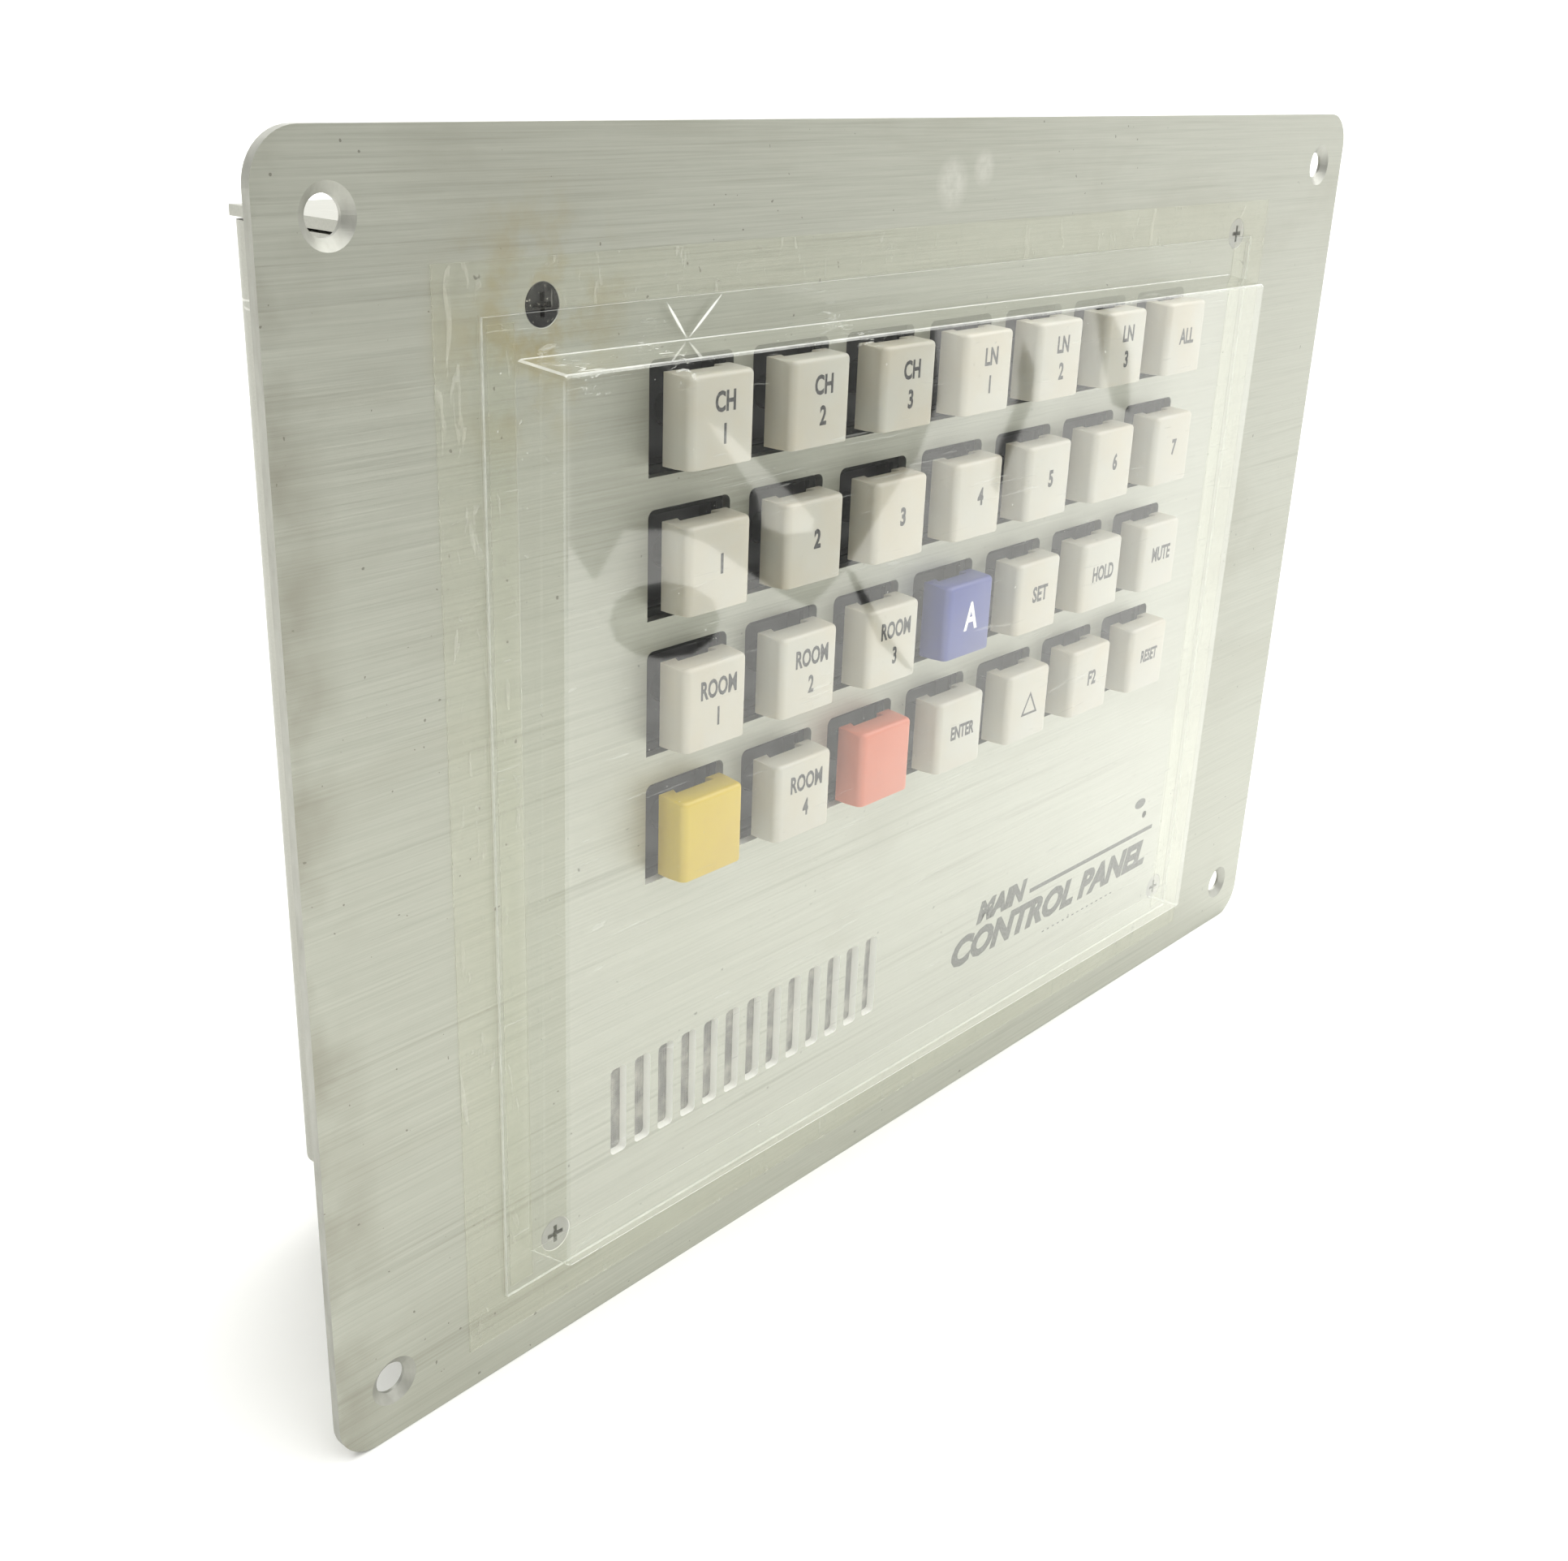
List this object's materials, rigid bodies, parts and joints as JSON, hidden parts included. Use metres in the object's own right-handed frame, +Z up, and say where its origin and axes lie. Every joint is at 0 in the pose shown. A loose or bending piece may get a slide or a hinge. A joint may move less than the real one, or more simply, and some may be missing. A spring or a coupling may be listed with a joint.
{
  "type": "push-button call station panel",
  "caption": "Flush-mounted control station: brushed metal panel with square spring-return keys, loudspeaker slots, a clear film cover and a shallow rear chassis.",
  "frame": {"origin": "centre of the four mounting holes, on the panel's back face (the face that lies against the wall)", "axes": "+X to the right seen from the front, -Y out of the front towards the user, +Y into the wall, +Z up"},
  "size_m": [0.254, 0.0626, 0.1778],
  "materials": {
    "clear_film": "clear gloss film",
    "clear_tape": "clear tape, yellowed",
    "brushed_panel": "brushed along X, satin",
    "panel_screw_steel": "dull steel",
    "zinc_steel": "zinc plated",
    "mask_black": "fine texture",
    "housing_black": "moulded",
    "spring_steel": "bright wire",
    "board_green": "solder mask",
    "speaker_cloth": "woven",
    "speaker_metal": "pressed steel, zinc plated",
    "ferrite": "sintered",
    "cone_paper": "pressed paper",
    "rubber_black": "soft rubber",
    "mic_metal": "drawn can",
    "chip_black": "moulded epoxy",
    "capacitor_sleeve": "shrink sleeve",
    "transformer_steel": "laminated core",
    "ribbon_grey": "flat cable",
    "terminal_green": "moulded nylon",
    "chassis_aluminium": "mill finish",
    "key_ivory": "moulded, satin",
    "key_blue": "moulded, satin",
    "key_yellow": "moulded, satin",
    "key_red": "moulded, satin"
  },
  "bodies": {
    "panel": {"protective_cover": "clear_film", "cover_tape": "clear_tape", "front_plate": "brushed_panel", "panel_screws": "panel_screw_steel", "panel_nuts": "zinc_steel", "key_mask": "mask_black", "switch_housings": "housing_black", "return_springs": "spring_steel", "key_board": "board_green", "key_board_spacers": "zinc_steel", "panel_studs": "zinc_steel", "speaker_cloth": "speaker_cloth", "speaker_basket": "speaker_metal", "speaker_magnet": "ferrite", "speaker_surround": "rubber_black", "speaker_clips": "zinc_steel", "mic_grommet": "rubber_black", "microphone": "mic_metal", "control_board": "board_green", "control_board_spacers": "zinc_steel", "control_board_screws": "zinc_steel", "logic_chips": "chip_black", "capacitors": "capacitor_sleeve", "audio_transformer": "transformer_steel", "board_headers": "chip_black", "ribbon_cable": "ribbon_grey", "terminal_block": "terminal_green", "terminal_screws": "zinc_steel", "rear_chassis": "chassis_aluminium", "chassis_top": "chassis_aluminium", "chassis_screws": "zinc_steel"},
    "key_row1_col1": {"key_row1_col1": "key_ivory"},
    "key_row1_col2": {"key_row1_col2": "key_ivory"},
    "key_row1_col3": {"key_row1_col3": "key_ivory"},
    "key_row1_col4": {"key_row1_col4": "key_ivory"},
    "key_row1_col5": {"key_row1_col5": "key_ivory"},
    "key_row1_col6": {"key_row1_col6": "key_ivory"},
    "key_row1_col7": {"key_row1_col7": "key_ivory"},
    "key_row2_col1": {"key_row2_col1": "key_ivory"},
    "key_row2_col2": {"key_row2_col2": "key_ivory"},
    "key_row2_col3": {"key_row2_col3": "key_ivory"},
    "key_row2_col4": {"key_row2_col4": "key_ivory"},
    "key_row2_col5": {"key_row2_col5": "key_ivory"},
    "key_row2_col6": {"key_row2_col6": "key_ivory"},
    "key_row2_col7": {"key_row2_col7": "key_ivory"},
    "key_row3_col1": {"key_row3_col1": "key_ivory"},
    "key_row3_col2": {"key_row3_col2": "key_ivory"},
    "key_row3_col3": {"key_row3_col3": "key_ivory"},
    "key_row3_col4": {"key_row3_col4": "key_blue"},
    "key_row3_col5": {"key_row3_col5": "key_ivory"},
    "key_row3_col6": {"key_row3_col6": "key_ivory"},
    "key_row3_col7": {"key_row3_col7": "key_ivory"},
    "key_row4_col1": {"key_row4_col1": "key_yellow"},
    "key_row4_col2": {"key_row4_col2": "key_ivory"},
    "key_row4_col3": {"key_row4_col3": "key_red"},
    "key_row4_col4": {"key_row4_col4": "key_ivory"},
    "key_row4_col5": {"key_row4_col5": "key_ivory"},
    "key_row4_col6": {"key_row4_col6": "key_ivory"},
    "key_row4_col7": {"key_row4_col7": "key_ivory"},
    "speaker_cone": {"speaker_cone": "cone_paper"}
  },
  "joints": [
    {"name": "press_row1_col1", "type": "slide", "parent": "panel", "child": "key_row1_col1", "axis": [0, 1, 0], "range_m": [0, 0.0032], "stiffness_N_per_m": 180, "springref_m": -0.002},
    {"name": "press_row1_col2", "type": "slide", "parent": "panel", "child": "key_row1_col2", "axis": [0, 1, 0], "range_m": [0, 0.0032], "stiffness_N_per_m": 180, "springref_m": -0.002},
    {"name": "press_row1_col3", "type": "slide", "parent": "panel", "child": "key_row1_col3", "axis": [0, 1, 0], "range_m": [0, 0.0032], "stiffness_N_per_m": 180, "springref_m": -0.002},
    {"name": "press_row1_col4", "type": "slide", "parent": "panel", "child": "key_row1_col4", "axis": [0, 1, 0], "range_m": [0, 0.0032], "stiffness_N_per_m": 180, "springref_m": -0.002},
    {"name": "press_row1_col5", "type": "slide", "parent": "panel", "child": "key_row1_col5", "axis": [0, 1, 0], "range_m": [0, 0.0032], "stiffness_N_per_m": 180, "springref_m": -0.002},
    {"name": "press_row1_col6", "type": "slide", "parent": "panel", "child": "key_row1_col6", "axis": [0, 1, 0], "range_m": [0, 0.0032], "stiffness_N_per_m": 180, "springref_m": -0.002},
    {"name": "press_row1_col7", "type": "slide", "parent": "panel", "child": "key_row1_col7", "axis": [0, 1, 0], "range_m": [0, 0.0032], "stiffness_N_per_m": 180, "springref_m": -0.002},
    {"name": "press_row2_col1", "type": "slide", "parent": "panel", "child": "key_row2_col1", "axis": [0, 1, 0], "range_m": [0, 0.0032], "stiffness_N_per_m": 180, "springref_m": -0.002},
    {"name": "press_row2_col2", "type": "slide", "parent": "panel", "child": "key_row2_col2", "axis": [0, 1, 0], "range_m": [0, 0.0032], "stiffness_N_per_m": 180, "springref_m": -0.002},
    {"name": "press_row2_col3", "type": "slide", "parent": "panel", "child": "key_row2_col3", "axis": [0, 1, 0], "range_m": [0, 0.0032], "stiffness_N_per_m": 180, "springref_m": -0.002},
    {"name": "press_row2_col4", "type": "slide", "parent": "panel", "child": "key_row2_col4", "axis": [0, 1, 0], "range_m": [0, 0.0032], "stiffness_N_per_m": 180, "springref_m": -0.002},
    {"name": "press_row2_col5", "type": "slide", "parent": "panel", "child": "key_row2_col5", "axis": [0, 1, 0], "range_m": [0, 0.0032], "stiffness_N_per_m": 180, "springref_m": -0.002},
    {"name": "press_row2_col6", "type": "slide", "parent": "panel", "child": "key_row2_col6", "axis": [0, 1, 0], "range_m": [0, 0.0032], "stiffness_N_per_m": 180, "springref_m": -0.002},
    {"name": "press_row2_col7", "type": "slide", "parent": "panel", "child": "key_row2_col7", "axis": [0, 1, 0], "range_m": [0, 0.0032], "stiffness_N_per_m": 180, "springref_m": -0.002},
    {"name": "press_row3_col1", "type": "slide", "parent": "panel", "child": "key_row3_col1", "axis": [0, 1, 0], "range_m": [0, 0.0032], "stiffness_N_per_m": 180, "springref_m": -0.002},
    {"name": "press_row3_col2", "type": "slide", "parent": "panel", "child": "key_row3_col2", "axis": [0, 1, 0], "range_m": [0, 0.0032], "stiffness_N_per_m": 180, "springref_m": -0.002},
    {"name": "press_row3_col3", "type": "slide", "parent": "panel", "child": "key_row3_col3", "axis": [0, 1, 0], "range_m": [0, 0.0032], "stiffness_N_per_m": 180, "springref_m": -0.002},
    {"name": "press_row3_col4", "type": "slide", "parent": "panel", "child": "key_row3_col4", "axis": [0, 1, 0], "range_m": [0, 0.0032], "stiffness_N_per_m": 180, "springref_m": -0.002},
    {"name": "press_row3_col5", "type": "slide", "parent": "panel", "child": "key_row3_col5", "axis": [0, 1, 0], "range_m": [0, 0.0032], "stiffness_N_per_m": 180, "springref_m": -0.002},
    {"name": "press_row3_col6", "type": "slide", "parent": "panel", "child": "key_row3_col6", "axis": [0, 1, 0], "range_m": [0, 0.0032], "stiffness_N_per_m": 180, "springref_m": -0.002},
    {"name": "press_row3_col7", "type": "slide", "parent": "panel", "child": "key_row3_col7", "axis": [0, 1, 0], "range_m": [0, 0.0032], "stiffness_N_per_m": 180, "springref_m": -0.002},
    {"name": "press_row4_col1", "type": "slide", "parent": "panel", "child": "key_row4_col1", "axis": [0, 1, 0], "range_m": [0, 0.0032], "stiffness_N_per_m": 180, "springref_m": -0.002},
    {"name": "press_row4_col2", "type": "slide", "parent": "panel", "child": "key_row4_col2", "axis": [0, 1, 0], "range_m": [0, 0.0032], "stiffness_N_per_m": 180, "springref_m": -0.002},
    {"name": "press_row4_col3", "type": "slide", "parent": "panel", "child": "key_row4_col3", "axis": [0, 1, 0], "range_m": [0, 0.0032], "stiffness_N_per_m": 180, "springref_m": -0.002},
    {"name": "press_row4_col4", "type": "slide", "parent": "panel", "child": "key_row4_col4", "axis": [0, 1, 0], "range_m": [0, 0.0032], "stiffness_N_per_m": 180, "springref_m": -0.002},
    {"name": "press_row4_col5", "type": "slide", "parent": "panel", "child": "key_row4_col5", "axis": [0, 1, 0], "range_m": [0, 0.0032], "stiffness_N_per_m": 180, "springref_m": -0.002},
    {"name": "press_row4_col6", "type": "slide", "parent": "panel", "child": "key_row4_col6", "axis": [0, 1, 0], "range_m": [0, 0.0032], "stiffness_N_per_m": 180, "springref_m": -0.002},
    {"name": "press_row4_col7", "type": "slide", "parent": "panel", "child": "key_row4_col7", "axis": [0, 1, 0], "range_m": [0, 0.0032], "stiffness_N_per_m": 180, "springref_m": -0.002},
    {"name": "cone_excursion", "type": "slide", "parent": "panel", "child": "speaker_cone", "axis": [0, 1, 0], "range_m": [-0.0005, 0.0005], "stiffness_N_per_m": 800, "deforming": ["speaker_surround"]}
  ]
}
